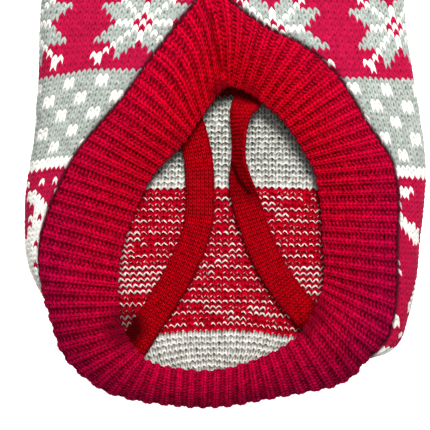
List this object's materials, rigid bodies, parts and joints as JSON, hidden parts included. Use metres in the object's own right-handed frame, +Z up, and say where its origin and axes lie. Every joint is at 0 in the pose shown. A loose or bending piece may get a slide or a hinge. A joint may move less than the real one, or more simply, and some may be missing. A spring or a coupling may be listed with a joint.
{
  "type": "dog christmas sweater",
  "caption": "Knitted winter sweater for a small dog, laid flat belly side up, with a wide ribbed rear opening, leg straps, cuffs and a ribbed collar.",
  "frame": {"origin": "centre of the garment's outline, on the surface it lies on", "axes": "+Y from the hem to the collar, +X across the garment, +Z up from the surface, out of the belly side"},
  "size_m": [0.2264, 0.3716, 0.0227],
  "materials": {
    "patterned_knit": "knitted acrylic, grey, white and red pattern",
    "red_rib": "ribbed acrylic knit",
    "red_jersey": "fine plain knit"
  },
  "bodies": {
    "root": {"back_panel": "patterned_knit", "belly_panel": "patterned_knit", "rear_band": "red_rib", "leg_strap_left": "red_jersey", "leg_strap_right": "red_jersey", "collar": "red_rib", "cuff_left": "red_rib", "cuff_right": "red_rib"}
  },
  "joints": []
}
